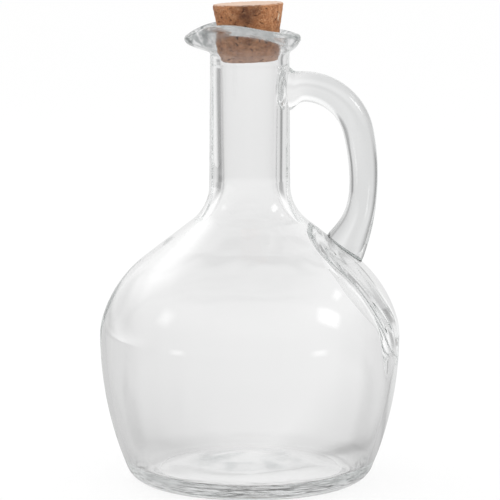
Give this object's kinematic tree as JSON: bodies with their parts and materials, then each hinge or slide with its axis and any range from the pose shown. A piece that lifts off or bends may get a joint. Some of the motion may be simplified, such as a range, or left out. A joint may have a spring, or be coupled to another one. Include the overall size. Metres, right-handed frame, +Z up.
{
  "type": "oil bottle",
  "caption": "Clear glass oil bottle with a round belly, slim neck, flared pouring lip, a welded side handle and a tapered cork that pulls out.",
  "frame": {"origin": "middle of the base, in the plane of the ring that the bottle stands on", "axes": "+Z up along the neck, +X towards the handle, -X towards the pouring spout"},
  "size_m": [0.103, 0.103, 0.165],
  "materials": {
    "clear_glass": "clear, fire polished",
    "natural_cork": "natural cork, cut and sanded"
  },
  "bodies": {
    "bottle": {"glass_bottle": "clear_glass", "glass_handle": "clear_glass"},
    "stopper": {"cork_stopper": "natural_cork"}
  },
  "joints": [
    {"name": "cork_pull", "type": "slide", "parent": "bottle", "child": "stopper", "axis": [-0.0384, 0, 0.9993], "range_m": [0, 0.045]}
  ]
}
